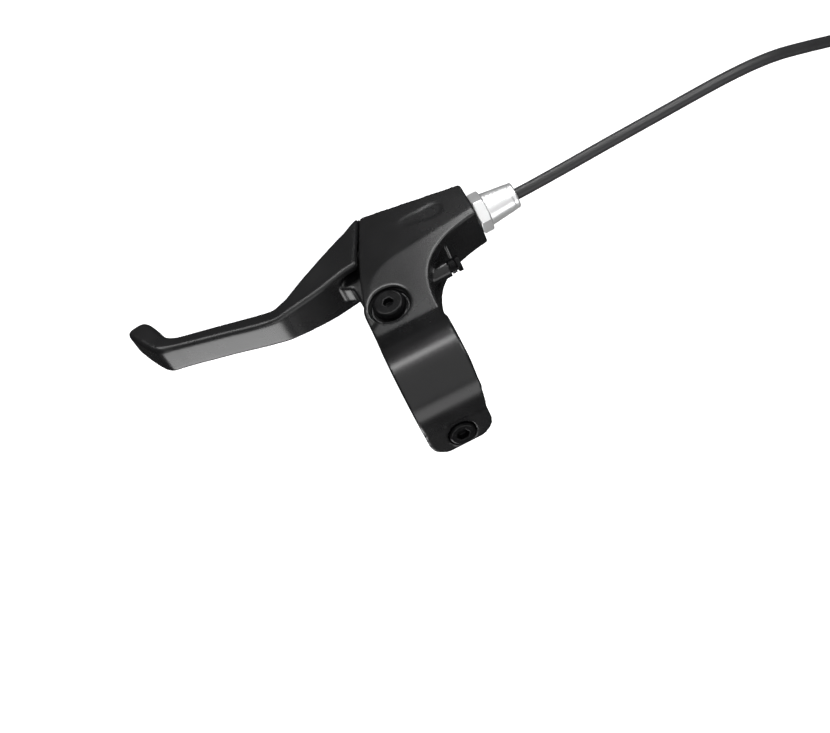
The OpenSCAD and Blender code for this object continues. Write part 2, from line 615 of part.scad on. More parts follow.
module reach_screw() color(steel)
    difference() {
        union() {
            along_x(reach_tip, reach_y) cylinder(d = reach_d, h = reach_head_x - reach_tip + eps);
            along_x(reach_head_x, reach_y) hexagon(reach_head_af, reach_head_l);
        }
        along_x(reach_head_x + reach_head_l, reach_y) socket(2, 1.2);
    }

module reach_spring() color(steel) {
    coil_r = reach_d / 2 + reach_wire_d / 2 + 0.08;
    turns = 3.5;
    n = 16;
    rise = reach_spring_l - reach_wire_d - 0.1;
    tube([for (i = [0:n * turns]) let (a = 360 * i / n)
        [reach_boss_end + reach_wire_d / 2 + 0.05 + rise * i / (n * turns), reach_y + coil_r * cos(a), coil_r * sin(a)]],
        reach_wire_d / 2, 8, [1, 0, 0]);
}

// ---- clamp fasteners ----

module at_clamp_bolt() { ear_frame() translate([ear_mid_x, 0, -clamp_bolt_drop]) rotate([90, 0, 0]) children(); }

module clamp_bolt() color(black) {
    seat = ear_rear - clamp_recess + clamp_washer_t;
    chamfer = 0.5;
    at_clamp_bolt() difference() {
        union() {
            translate([0, 0, -ear_front + 0.5]) cylinder(d = clamp_bolt_d, h = ear_front - 0.5 + seat + eps);
            translate([0, 0, seat]) cylinder(r = clamp_head_r, h = clamp_head_l - chamfer);
            translate([0, 0, seat + clamp_head_l - chamfer]) cylinder(r1 = clamp_head_r, r2 = clamp_head_r - chamfer, h = chamfer);
        }
        translate([0, 0, seat + clamp_head_l]) socket(4, 2.4);
    }
}

module clamp_washer() color(steel)
    at_clamp_bolt() translate([0, 0, ear_rear - clamp_recess]) difference() {
        cylinder(r = clamp_recess_r - 0.15, h = clamp_washer_t);
        translate([0, 0, -1]) cylinder(r = clamp_bolt_d / 2 + 0.1, h = 3);
    }

module clamp_nut() color(steel)
    at_clamp_bolt() translate([0, 0, -ear_front]) difference() {
        rotate([0, 0, 30]) hexagon(clamp_nut_af, clamp_nut_l);
        translate([0, 0, -1]) cylinder(d = clamp_bolt_d, h = clamp_nut_l + 2);
    }

bracket();
lever_blade();
pivot_bolt();
pivot_nut();
pivot_sleeve();
thrust_washers();
return_spring();
barrel_adjuster();
lock_nut();
housing_ferrule();
cable_housing();
cable_coil();
coil_tie();
end_ferrule();
wire_tail();
wire_end_cap();
inner_wire();
cable_nipple();
reach_screw();
reach_spring();
clamp_bolt();
clamp_washer();
clamp_nut();
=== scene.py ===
import math

import bpy
import numpy as np
from mathutils import Matrix, Vector


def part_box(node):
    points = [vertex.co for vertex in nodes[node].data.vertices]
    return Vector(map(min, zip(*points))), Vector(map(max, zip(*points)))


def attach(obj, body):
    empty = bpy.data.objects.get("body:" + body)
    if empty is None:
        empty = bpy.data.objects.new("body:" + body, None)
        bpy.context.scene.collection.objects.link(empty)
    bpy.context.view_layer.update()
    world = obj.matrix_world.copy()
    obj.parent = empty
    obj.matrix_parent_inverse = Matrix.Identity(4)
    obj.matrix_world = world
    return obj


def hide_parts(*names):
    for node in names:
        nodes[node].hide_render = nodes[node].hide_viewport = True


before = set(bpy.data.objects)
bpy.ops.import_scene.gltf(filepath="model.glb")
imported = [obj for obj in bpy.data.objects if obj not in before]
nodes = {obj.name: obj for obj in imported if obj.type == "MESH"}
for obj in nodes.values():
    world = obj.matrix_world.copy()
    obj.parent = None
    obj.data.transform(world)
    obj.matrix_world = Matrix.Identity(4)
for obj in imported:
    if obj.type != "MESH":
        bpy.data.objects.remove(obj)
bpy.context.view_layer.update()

print("frame loaded:", len(nodes), "CAD nodes")


# the middle of a CAD node's box
def boxMiddle(node):
    low, high = (np.array(v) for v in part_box(node))
    return (low + high) / 2


# the pivot's x and y, to the nearest tenth of a millimetre
pivotAxis = np.round(boxMiddle("pivot_bolt")[:2], 4)


# each row divided by its length
def unit(v):
    return v / np.maximum(np.linalg.norm(v, axis=-1, keepdims=True), 1e-12)


# quads between neighbouring rows of a grid whose columns wrap round
def gridFaces(rows, cols):
    i = np.arange(rows - 1)[:, None]
    j = np.arange(cols)[None, :]
    nextJ = (j + 1) % cols
    quads = np.stack([i * cols + j, (i + 1) * cols + j, (i + 1) * cols + nextJ, i * cols + nextJ], axis=-1)
    return quads.reshape(-1, 4)


# a tube of rings as one mesh: quads between the rings and one face over each end
def addTube(name, rings, body, look, uv=None):
    rows, cols = rings.shape[:2]
    ends = [np.arange(cols), np.arange(cols)[::-1] + (rows - 1) * cols]
    faces = gridFaces(rows, cols).tolist() + [list(map(int, e)) for e in ends]
    mesh = bpy.data.meshes.new(name)
    mesh.from_pydata(rings.reshape(-1, 3).tolist(), [], faces)
    if uv is not None:
        corners = np.empty(len(mesh.loops), dtype=np.int32)
        mesh.loops.foreach_get("vertex_index", corners)
        layer = mesh.uv_layers.new(name="UVMap")
        layer.data.foreach_set("uv", uv.reshape(-1, 2)[corners].astype(np.float32).ravel())
    smooth = np.ones(len(faces), dtype=bool)
    smooth[-2:] = False
    mesh.polygons.foreach_set("use_smooth", smooth)
    mesh.update()
    return placed(bpy.data.objects.new(name, mesh), body, look)


# links the piece, gives it its one look, and names the body it rides on
def placed(piece, body, look):
    if piece.name not in bpy.context.collection.objects:
        bpy.context.collection.objects.link(piece)
    piece.data.materials.clear()
    piece.data.materials.append(look)
    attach(piece, body)
    return piece


# Each path point gets the outline (side, up) in the plane square to the path. Side is the path's direction
# crossed with the vector across, and up is side crossed with the direction. An outline may differ from
# point to point.
def sweep(path, outline, across):
    along = unit(np.gradient(path, axis=0))
    side = unit(np.cross(along, np.asarray(across, float)))
    up = np.cross(side, along)
    return path[:, None, :] + outline[..., 0:1] * side[:, None, :] + outline[..., 1:2] * up[:, None, :]


# points at equal angles round a circle
def circle(radius, sides):
    a = np.linspace(0, 2 * math.pi, sides, endpoint=False)
    return radius * np.stack([np.cos(a), np.sin(a)], axis=1)


# running length of a path at each of its points
def lengthAlong(path):
    return np.concatenate([[0], np.cumsum(np.linalg.norm(np.diff(path, axis=0), axis=1))])


# the same path with its points a step apart
def resample(path, step):
    run = lengthAlong(path)
    at = np.linspace(0, run[-1], max(2, int(round(run[-1] / step)) + 1))
    return np.stack([np.interp(at, run, path[:, k]) for k in range(3)], axis=1)


# Catmull-Rom curve: between two points the cubic whose end slopes are half the chord of the neighbours
def throughPoints(points, perSpan):
    p = np.vstack([2 * points[0] - points[1], points, 2 * points[-1] - points[-2]])
    t = np.linspace(0, 1, perSpan, endpoint=False)[None, :, None]
    a, b, c, d = p[:-3, None], p[1:-2, None], p[2:-1, None], p[3:, None]
    curve = 0.5 * (2 * b + (c - a) * t + (2 * a - 5 * b + 4 * c - d) * t**2 + (3 * b - a - 3 * c + d) * t**3)
    return np.vstack([curve.reshape(-1, 3), points[-1]])


view = dict(distance=0.5, elevation=54.0, roll=27.0, focal=67.8795, sensor=36.0, aimRight=-0.0134,
            aimUp=0.0061, near=0.01, far=20.0)


# Looks down at the clamp's middle, rolled about the line of sight, then aimed a little aside for the framing
def placeCamera():
    e, r = math.radians(view["elevation"]), math.radians(view["roll"])
    ahead = Vector((0, math.cos(e), -math.sin(e)))
    level = Vector((1, 0, 0))
    steep = level.cross(ahead)
    right = level * math.cos(r) - steep * math.sin(r)
    up = level * math.sin(r) + steep * math.cos(r)
    aim = (ahead + right * view["aimRight"] + up * view["aimUp"]).normalized()
    right = aim.cross(up).normalized()
    turn = Matrix((right, right.cross(aim), -aim)).transposed()
    lens = bpy.data.cameras.new("camera")
    lens.lens = view["focal"]
    lens.sensor_width = view["sensor"]
    lens.clip_start, lens.clip_end = view["near"], view["far"]
    camera = bpy.data.objects.new("camera", lens)
    bpy.context.collection.objects.link(camera)
    camera.matrix_world = Matrix.Translation(-view["distance"] * ahead) @ turn.to_4x4()
    bpy.context.scene.camera = camera


placeCamera()
print("camera placed")


# an empty material, its node tree and its shader
def newLook(name):
    look = bpy.data.materials.new(name)
    look.use_nodes = True
    return look, look.node_tree, look.node_tree.nodes["Principled BSDF"]


# colour mix of two fixed colours, or of a colour socket and a fixed colour, by a factor socket
def mixed(tree, factor, first, second):
    node = tree.nodes.new("ShaderNodeMix")
    node.data_type = "RGBA"
    if isinstance(first, tuple):
        node.inputs["A"].default_value = (*first, 1)
    else:
        tree.links.new(first, node.inputs["A"])
    node.inputs["B"].default_value = (*second, 1)
    tree.links.new(factor, node.inputs["Factor"])
    return node.outputs["Result"]


# a value socket carried in a straight line from one range to another
def ranged(tree, value, fromLow, fromHigh, toLow, toHigh):
    node = tree.nodes.new("ShaderNodeMapRange")
    for key, number in (("From Min", fromLow), ("From Max", fromHigh), ("To Min", toLow), ("To Max", toHigh)):
        node.inputs[key].default_value = number
    tree.links.new(value, node.inputs["Value"])
    return node.outputs["Result"]


# noise on the object's own coordinates, drawn out along the axes by stretch
def noise(tree, scale, detail, stretch=(1, 1, 1)):
    where = tree.nodes.new("ShaderNodeTexCoord")
    mapping = tree.nodes.new("ShaderNodeMapping")
    mapping.inputs["Scale"].default_value = stretch
    tree.links.new(where.outputs["Object"], mapping.inputs["Vector"])
    node = tree.nodes.new("ShaderNodeTexNoise")
    node.inputs["Scale"].default_value = scale
    node.inputs["Detail"].default_value = detail
    tree.links.new(mapping.outputs["Vector"], node.inputs["Vector"])
    return node.outputs["Fac"]


recipe = dict(cloud=(0.3, 0.7), cloudDetail=4, grainDetail=2, edgeSpan=(0.7, 0.97), depth=0.00004, bevelSamples=6)


# the surface's normal, turned smoothly over edges within the radius
def bevelNormal(tree, radius):
    node = tree.nodes.new("ShaderNodeBevel")
    node.samples = recipe["bevelSamples"]
    node.inputs["Radius"].default_value = radius
    return node.outputs["Normal"]


# 0 on flat ground, 1 on an edge: how far the rounded normal turns from the true one
def edgeMask(tree, radius, low, high):
    geometry = tree.nodes.new("ShaderNodeNewGeometry")
    dot = tree.nodes.new("ShaderNodeVectorMath")
    dot.operation = "DOT_PRODUCT"
    tree.links.new(bevelNormal(tree, radius), dot.inputs[0])
    tree.links.new(geometry.outputs["Normal"], dot.inputs[1])
    return ranged(tree, dot.outputs["Value"], high, low, 0, 1)


# the given normal tilted by the slope of a height socket, into the shader
def bumped(tree, height, spec, shader, normal):
    node = tree.nodes.new("ShaderNodeBump")
    node.inputs["Strength"].default_value = spec["bump"]
    node.inputs["Distance"].default_value = spec.get("depth", recipe["depth"])
    tree.links.new(height, node.inputs["Height"])
    tree.links.new(normal, node.inputs["Normal"])
    tree.links.new(node.outputs["Normal"], shader.inputs["Normal"])


# One recipe for every finish: a cloud, its middle range spread from 0 to 1, mixes dark with light and picks
# the roughness, fine grain makes the relief, and edges take the edge colour: lighter paint wear on the black
# finishes, and on the turned aluminium a darker tone that is a painted dark reflection along its edges.
def finish(name, spec):
    look, tree, shader = newLook(name)
    cloud = noise(tree, spec["cloudScale"], recipe["cloudDetail"])
    tone = mixed(tree, ranged(tree, cloud, *recipe["cloud"], 0, 1), spec["dark"], spec["light"])
    # edge colour: real paint wear where it is lighter, painted dark edge reflection on the aluminium
    if "edgeWearAndShade" in spec:
        edgeWearAndShadeMask = edgeMask(tree, spec["edge"], *spec.get("edgeSpan", recipe["edgeSpan"]))
        tone = mixed(tree, edgeWearAndShadeMask, tone, spec["edgeWearAndShade"])
    tree.links.new(tone, shader.inputs["Base Color"])
    gloss = ranged(tree, cloud, *recipe["cloud"], *spec["roughness"])
    tree.links.new(gloss, shader.inputs["Roughness"])
    shader.inputs["Metallic"].default_value = spec.get("metallic", 0.0)
    shader.inputs["Specular IOR Level"].default_value = spec.get("specular", 0.5)
    shader.inputs["Specular Tint"].default_value = (spec.get("rim", 1.0),) * 3 + (1,)
    grain = noise(tree, spec["grainScale"], recipe["grainDetail"], spec.get("stretch", (1, 1, 1)))
    bumped(tree, grain, spec, shader, bevelNormal(tree, spec["edge"]))
    return look


bracketLook = finish("bracketSatin", dict(
    dark=(0.005, 0.005, 0.0053), light=(0.008, 0.008, 0.0085), edgeWearAndShade=(0.02, 0.02, 0.021),
    roughness=(0.24, 0.28), cloudScale=60, grainScale=2600, bump=0.06, edge=0.0004))
bladeLook = finish("bladeSatin", dict(
    dark=(0.005, 0.005, 0.0055), light=(0.009, 0.009, 0.0095), edgeWearAndShade=(0.022, 0.022, 0.023),
    roughness=(0.25, 0.3), cloudScale=45, grainScale=2400, bump=0.12, edge=0.0012))
boltLook = finish("boltBlack", dict(
    dark=(0.004, 0.004, 0.0042), light=(0.007, 0.007, 0.0075), edgeWearAndShade=(0.02, 0.02, 0.021),
    roughness=(0.2, 0.24), cloudScale=300, grainScale=5000, bump=0.2, edge=0.0003, specular=0.14))
# the darker edge colour here is painted shade: a dark reflection line painted along the nut's and barrel's
# edges
silverLook = finish("turnedAluminium", dict(
    dark=(0.93, 0.935, 0.94), light=(0.97, 0.97, 0.97), edgeWearAndShade=(0.3, 0.3, 0.31), edgeSpan=(0.75, 0.99),
    roughness=(0.3, 0.38), cloudScale=150, metallic=0.8, rim=0.1, grainScale=900, stretch=(8, 0.5, 0.5),
    bump=0.2, depth=0.00002, edge=0.0002))
steelLook = finish("zincSteel", dict(
    dark=(0.5, 0.51, 0.53), light=(0.66, 0.67, 0.69), roughness=(0.24, 0.36), cloudScale=400, metallic=1.0,
    grainScale=1500, bump=0.2, edge=0.0002))
brassLook = finish("plainBrass", dict(
    dark=(0.62, 0.46, 0.2), light=(0.76, 0.6, 0.3), roughness=(0.25, 0.35), cloudScale=300, metallic=1.0,
    grainScale=700, stretch=(1, 1, 4), bump=0.2, edge=0.0002))
housingLook = finish("housingCover", dict(
    dark=(0.014, 0.014, 0.015), light=(0.02, 0.02, 0.021), roughness=(0.38, 0.46), cloudScale=90,
    grainScale=2200, bump=0.15, edge=0.0002))
nylonLook = finish("nylonWhite", dict(
    dark=(0.74, 0.74, 0.71), light=(0.84, 0.84, 0.81), roughness=(0.4, 0.5), cloudScale=200,
    grainScale=3000, bump=0.1, edge=0.0001))
tieLook = finish("tieBlack", dict(
    dark=(0.012, 0.012, 0.012), light=(0.02, 0.02, 0.02), roughness=(0.4, 0.5), cloudScale=200,
    grainScale=3000, bump=0.2, edge=0.0002))
print("looks made")

housing = dict(diameter=0.004, sides=24, step=0.0012, axisY=0.0527, perSpan=12)
housingRoute = np.array([
    [43.5, 0, 0], [54, 0, 0], [62, 0.1, 0.2], [74, 0.2, 0.8], [86, 0.3, 1.5], [98, 0.3, 2.2], [110, 0.3, 2.9],
    [122, 0.3, 3.6], [133, 0.3, 4], [143, 0.3, 3.7], [152, 0.3, 2.4], [161, 0.3, -0.2], [172, 0.3, -3.9],
    [183, 0.3, -7.6], [194, 0.3, -11.4], [205, 0.3, -15.6], [215, 0.3, -19.7]]) / 1000
coil = dict(middle=(0.206, 0.0003, -0.042), radius=0.024, rise=0.0044, entry=68.0, turned=788.0, points=160,
            stub=0.0235, stubPoints=8)


# A curve through the route's points, then a helix about an axis along Y whose angle falls from the entry
# angle while it climbs evenly, then straight down
def housingPath():
    shift = np.array([0, housing["axisY"], 0])
    lead = throughPoints(housingRoute + shift, housing["perSpan"])
    turned = np.linspace(0, coil["turned"], coil["points"])
    a = np.radians(coil["entry"] - turned)
    turns = np.array(coil["middle"]) + shift + np.stack(
        [coil["radius"] * np.cos(a), coil["rise"] * turned / 360, coil["radius"] * np.sin(a)], axis=1)
    stub = turns[-1] - np.outer(np.linspace(0, 1, coil["stubPoints"])[1:], (0, 0, coil["stub"]))
    return resample(np.vstack([lead, turns, stub]), housing["step"])


# The path swept with a circle. The UV map is the way round from 0 to 1 and the run along the path in metres.
def makeHousing():
    path = housingPath()
    count, run = housing["sides"], lengthAlong(path)
    rings = sweep(path, circle(housing["diameter"] / 2, count), (0, 1, 0))
    around = np.tile(np.linspace(0, 1, count, endpoint=False), (len(path), 1))
    uv = np.stack([around, np.repeat(run[:, None], count, axis=1)], axis=-1)
    piece = addTube("cableHousing", rings, "housing", housingLook, uv)
    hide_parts("cable_housing", "cable_coil")
    return piece, path, float(run[-1])


cableHousing, housingLine, housingLength = makeHousing()
print("housing swept:", round(housingLength, 4), "m")


wires = dict(twist=0.011, lobes=6, groove=0.16, sides=48, step=0.0004)


# Strand of six wires: the radius swells and shrinks six times round by the absolute cosine, and the swells
# turn with the run.
def strand(name, node, body, start, end, diameter):
    path = resample(np.array([start, end], float), wires["step"])
    a = np.linspace(0, 2 * math.pi, wires["sides"], endpoint=False)[None, :]
    turn = 2 * math.pi * lengthAlong(path)[:, None] / wires["twist"]
    swell = np.abs(np.cos(wires["lobes"] / 2 * (a - turn)))
    radius = diameter / 2 * (1 - wires["groove"] * (1 - swell))
    outline = np.stack([radius * np.cos(a), radius * np.sin(a)], axis=-1)
    across = (0, 0, 1) if abs(end[0] - start[0]) > abs(end[2] - start[2]) else (0, 1, 0)
    piece = addTube(name, sweep(path, outline, across), body, steelLook)
    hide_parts(node)
    return piece


# a strand along one axis through the middle of a node's box, as thick as the box
def strandThrough(name, node, body, axis):
    low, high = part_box(node)
    start, end = boxMiddle(node), boxMiddle(node)
    start[axis], end[axis] = low[axis], high[axis]
    other = 1 if axis != 1 else 0
    return strand(name, node, body, start, end, float(high[other] - low[other]))


innerStrand = strandThrough("innerStrand", "inner_wire", "wire", 0)
tailStrand = strandThrough("tailStrand", "wire_tail", "housing", 2)

tie = dict(at=205.0, round=0.0016, wide=0.004, thick=0.0008, slack=0.00015, edge=0.00024, perBend=8,
           perEdge=4)


# A rounded box's outline: quarter circles of the given radius joined by straight sides
def roundedOutline(halfX, halfY, radius, perCorner):
    a = np.radians(np.linspace(0, 90, perCorner))[None, :] + np.radians(np.array([0, 90, 180, 270]))[:, None]
    signs = np.array([[1, 1], [-1, 1], [-1, -1], [1, -1]])
    centre = signs * (np.array([halfX, halfY]) - radius)
    points = centre[:, None, :] + radius * np.stack([np.cos(a), np.sin(a)], axis=-1)
    return points.reshape(-1, 2)


# Strap of the stored coil: a thin band's outline carried round a rounded rectangle that lies across the
# turns, in the plane of the coil's radius and Y, and closed on itself
def makeTie():
    low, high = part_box("coil_tie")
    turn = math.radians(tie["at"])
    outward = np.array([math.cos(turn), 0, math.sin(turn)])
    tangent = np.array([-math.sin(turn), 0, math.cos(turn)])
    halfY = (high[1] - low[1]) / 2 - tie["thick"] / 2
    halfR = housing["diameter"] / 2 + tie["slack"] + tie["thick"] / 2
    loop = roundedOutline(halfR, halfY, tie["round"], tie["perBend"])
    path = boxMiddle("coil_tie") + loop[:, 0:1] * outward + loop[:, 1:2] * np.array([0, 1.0, 0])
    band = roundedOutline(tie["wide"] / 2, tie["thick"] / 2, tie["edge"], tie["perEdge"])
    along = unit(np.roll(path, -1, axis=0) - np.roll(path, 1, axis=0))
    proud = np.cross(along, tangent)
    rings = path[:, None, :] + band[None, :, 0:1] * tangent + band[None, :, 1:2] * proud[:, None, :]
    rows, cols = rings.shape[:2]
    faces = (gridFaces(rows + 1, cols) % (rows * cols))[:, ::-1]
    mesh = bpy.data.meshes.new("coilStrap")
    mesh.from_pydata(rings.reshape(-1, 3).tolist(), [], faces.tolist())
    piece = placed(bpy.data.objects.new("coilStrap", mesh), "housing", tieLook)
    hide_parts("coil_tie")
    return piece


coilStrap = makeTie()

returnSpring = dict(radius=0.005, wire=0.001, base=-0.0032, pitch=0.0011, turns=2.5, footAngle=250.0,
                    footEnd=-0.0057, headEnd=0.00175, corner=0.0005, points=90,
                    fineStep=0.0001, step=0.0003, sides=16)
reachSpring = dict(start=0.020625, rise=0.00195, axisY=0.0373, radius=0.002305, wire=0.00055, turns=3.5,
                   points=140, sides=14)


# a path with its corners rounded: the mean of the points within a distance, the ends held
def cornersRounded(path, distance, step):
    half = max(1, int(distance / step))
    padded = np.vstack([np.repeat(path[:1], half, axis=0), path, np.repeat(path[-1:], half, axis=0)])
    kernel = np.ones(2 * half + 1) / (2 * half + 1)
    return np.stack([np.convolve(padded[:, k], kernel, mode="valid") for k in range(3)], axis=1)


# Spring of round wire about the pivot's axis: each point stands at a fixed radius and climbs evenly with
# the angle, and straight ends run down to the foot and up to the head. The corners are rounded.
def makeReturnSpring():
    spec = returnSpring
    turned = np.radians(np.linspace(0, 360 * spec["turns"], spec["points"]))
    first = math.radians(spec["footAngle"])
    angle = np.concatenate([[first], first + turned, [first + turned[-1]]])
    climb = spec["base"] + spec["pitch"] * turned / (2 * math.pi)
    height = np.concatenate([[spec["footEnd"]], climb, [spec["headEnd"]]])
    line = np.stack([pivotAxis[0] + spec["radius"] * np.cos(angle),
                     pivotAxis[1] + spec["radius"] * np.sin(angle), height], axis=1)
    bent = cornersRounded(resample(line, spec["fineStep"]), spec["corner"], spec["fineStep"])
    path = resample(bent, spec["step"])
    outward = unit(path * (1, 1, 0) - np.array([*pivotAxis, 0]))
    rings = sweep(path, circle(spec["wire"] / 2, spec["sides"]), outward)
    piece = addTube("returnSpring", rings, "bracket", steelLook)
    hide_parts("return_spring")


# Spring of round wire about the reach screw's axis, along X: a helix of fixed radius that climbs evenly
def makeReachSpring():
    spec = reachSpring
    share = np.linspace(0, 1, spec["points"])
    angle = 2 * math.pi * spec["turns"] * share
    path = np.stack([spec["start"] + spec["rise"] * share, spec["axisY"] + spec["radius"] * np.cos(angle),
                     spec["radius"] * np.sin(angle)], axis=1)
    rings = sweep(path, circle(spec["wire"] / 2, spec["sides"]), (1, 0, 0))
    piece = addTube("reachSpring", rings, "reach_spring", boltLook)
    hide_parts("reach_spring")


makeReturnSpring()
makeReachSpring()
print("wires, tie and springs made")

coarseThread = dict(radius=0.00395, pitch=0.001, depth=0.00022)
fineThread = dict(radius=0.00195, pitch=0.0007, depth=0.00018, springGap=0.0003)
threadBand = 0.15  # share of the radius within which a point belongs to the thread


# Threaded stretch along X: the distance from the axis drops by a zigzag of the run along the axis less the
# angle's turn. Over one pitch at either end of the span the thread fades out.
def cutThread(points, axis, span, thread):
    y, z = points[:, 1] - axis[0], points[:, 2] - axis[1]
    reach = np.hypot(y, z)
    phase = (points[:, 0] / thread["pitch"] - np.arctan2(z, y) / (2 * math.pi)) % 1
    cut = thread["depth"] * (1 - np.abs(2 * phase - 1))
    fadeIn = np.clip((points[:, 0] - span[0]) / thread["pitch"], 0, 1)
    fadeOut = np.clip((span[1] - points[:, 0]) / thread["pitch"], 0, 1)
    onThread = np.abs(reach - thread["radius"]) < threadBand * thread["radius"]
    factor = np.where(onThread, 1 - fadeIn * fadeOut * cut / np.maximum(reach, 1e-9), 1)
    points[:, 1], points[:, 2] = axis[0] + y * factor, axis[1] + z * factor
    return points


softening = dict(merge=0.00001, factor=0.5)


# moves each point half the way to the middle of its neighbours, as often as rounds says
def relax(piece, rounds):
    smooth = piece.modifiers.new("relax", "SMOOTH")
    smooth.factor, smooth.iterations = softening["factor"], rounds
    bpy.ops.object.modifier_apply(modifier="relax")


# A copy of a CAD node, merged, remeshed to even faces and relaxed, so that its edges are softly rounded.
# Carve may then move the points, and settle relaxes them once more.
def softened(spec, look, carve=None):
    mesh = nodes[spec["node"]].data.copy()
    mesh.name = spec["name"]
    piece = bpy.data.objects.new(spec["name"], mesh)
    bpy.context.collection.objects.link(piece)
    bpy.ops.object.select_all(action="DESELECT")
    piece.select_set(True)
    bpy.context.view_layer.objects.active = piece
    piece.modifiers.new("weld", "WELD").merge_threshold = softening["merge"]
    remesh = piece.modifiers.new("remesh", "REMESH")
    remesh.mode = "VOXEL"
    remesh.voxel_size = spec["voxel"]
    remesh.use_smooth_shade = True
    for name in ("weld", "remesh"):
        bpy.ops.object.modifier_apply(modifier=name)
    relax(piece, spec["rounds"])
    if carve is not None:
        points, normals = (np.empty(len(piece.data.vertices) * 3, dtype=np.float32) for k in range(2))
        piece.data.vertices.foreach_get("co", points)
        piece.data.vertices.foreach_get("normal", normals)
        points = carve(points.reshape(-1, 3).astype(float), normals.reshape(-1, 3).astype(float))
        piece.data.vertices.foreach_set("co", points.astype(np.float32).ravel())
        piece.data.update()
    if "settle" in spec:
        relax(piece, spec["settle"])
    placed(piece, spec["body"], look)
    piece.data.polygons.foreach_set("use_smooth", np.ones(len(piece.data.polygons), dtype=bool))
    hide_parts(spec["node"])
    print(spec["name"], len(piece.data.polygons), "faces")
    return piece


dish = dict(ridge=(0.0064, 0.0313, 0.0085), turn=6.6, bend=0.0144, fall=8.0, keep=0.28, deepest=0.0011,
            start=(0.0112, 0.0116), startRadius=0.0031, end=(0.0207, 0.0093), endRadius=0.0046)


# The dish in the cover, made shallower: below the cover's plane, and within the dish's round ends and the
# straight band between them, each point keeps only part of its depth. The plane's frame is x along the
# ridge and y down the fall.
def shallowDish(points, normals):
    turn, fall = math.radians(dish["turn"]), math.radians(dish["fall"])
    alongRidge = np.array([math.cos(turn), math.sin(turn), 0])
    level = np.array([-math.sin(turn), math.cos(turn), 0])
    down = level * math.cos(fall) - np.array([0, 0, math.sin(fall)])
    proud = level * math.sin(fall) + np.array([0, 0, math.cos(fall)])
    local = points - (np.array(dish["ridge"]) + dish["bend"] * level)
    flat = np.stack([local @ alongRidge, local @ down], axis=1)
    height = local @ proud
    start, end = np.array(dish["start"]), np.array(dish["end"])
    share = np.clip((flat - start) @ (end - start) / ((end - start) @ (end - start)), 0, 1)
    radius = dish["startRadius"] + share * (dish["endRadius"] - dish["startRadius"])
    inside = np.linalg.norm(flat - start - share[:, None] * (end - start), axis=1) < radius
    sunk = inside & (height < 0) & (height > -dish["deepest"])
    points -= np.where(sunk, (1 - dish["keep"]) * height, 0)[:, None] * proud
    return points


boltRing = dict(inner=0.0057, middle=0.00638, half=0.00066, floor=0.0065, near=0.0005, deep=0.0008)


# The floor of the ring round the pivot bolt's head, hollowed: each point of it goes down by
# deep * (1 - (distance from the ring's middle / half)^2), at least nothing.
def bracketShape(points, normals):
    points = shallowDish(points, normals)
    reach = np.linalg.norm(points[:, :2] - pivotAxis, axis=1)
    onFloor = (reach > boltRing["inner"]) & (np.abs(points[:, 2] - boltRing["floor"]) < boltRing["near"])
    hollow = np.clip(1 - ((reach - boltRing["middle"]) / boltRing["half"])**2, 0, 1)
    points[:, 2] -= np.where(onFloor, boltRing["deep"] * hollow, 0)
    return points


bracketCast = softened(dict(
    name="bracketCast", node="bracket", body="bracket", slot="bracket_black", voxel=0.00043, rounds=4,
    settle=2), bracketLook, bracketShape)


# 3 t^2 - 2 t^3 of the share t of the way from the low number to the high one
def eased(value, low, high):
    t = np.clip((value - low) / (high - low), 0, 1)
    return t**2 * (3 - 2 * t)


frontEdge = dict(side=1, low=-0.0335, high=-0.006, through=(-0.0332, -0.0063), fade=0.0005, reach=0.007)
rearEdge = dict(side=-1, low=-0.0838, high=-0.064, through=(-0.064, -0.054), fade=0.0062, reach=0.006)
stations = dict(step=0.0005, mean=7)


# An edge of the lever drawn straight. At stations along X the outermost Y of a side is measured and
# averaged over its neighbours, the line goes through it at two Xs, and each point moves by its station's
# miss from the line, fully at the edge and not at all past the reach. The miss fades in from the low end
# over the given length.
def drawnStraight(points, spec):
    x, y = points[:, 0], spec["side"] * points[:, 1]
    low, high = min(spec["low"], *spec["through"]), max(spec["high"], *spec["through"])
    step, mean = stations["step"], stations["mean"]
    edges = np.arange(low - step, high + 2 * step, step)
    index = np.digitize(x, edges) - 1
    inside = (index >= 0) & (index < len(edges) - 1)
    outermost = np.full(len(edges) - 1, -1.0)
    np.maximum.at(outermost, index[inside], y[inside])
    padded = np.pad(outermost, mean // 2, mode="reflect", reflect_type="odd")
    outermost = np.convolve(padded, np.ones(mean) / mean, mode="valid")
    middle = (edges[:-1] + edges[1:]) / 2
    first, last = np.interp(spec["through"], middle, outermost)
    line = first + (last - first) * (middle - spec["through"][0]) / (spec["through"][1] - spec["through"][0])
    within = (middle >= spec["low"]) & (middle <= spec["high"])
    miss = np.where(within, line - outermost, 0) * eased(middle, spec["low"], spec["low"] + spec["fade"])
    share = eased(y - np.interp(x, middle, outermost), -spec["reach"], 0)
    points[:, 1] += spec["side"] * np.where(inside, np.interp(x, middle, miss), 0) * share
    return points


knob = dict(start=-0.0745, full=-0.0815, swell=0.0005)
rootGap = dict(edgeX=(-0.0108, -0.0093, -0.0075, -0.0056, 0.0004),
               edgeY=(0.0328, 0.0393, 0.0459, 0.0528, 0.0698), above=0.0036, close=0.00038, depth=0.003)


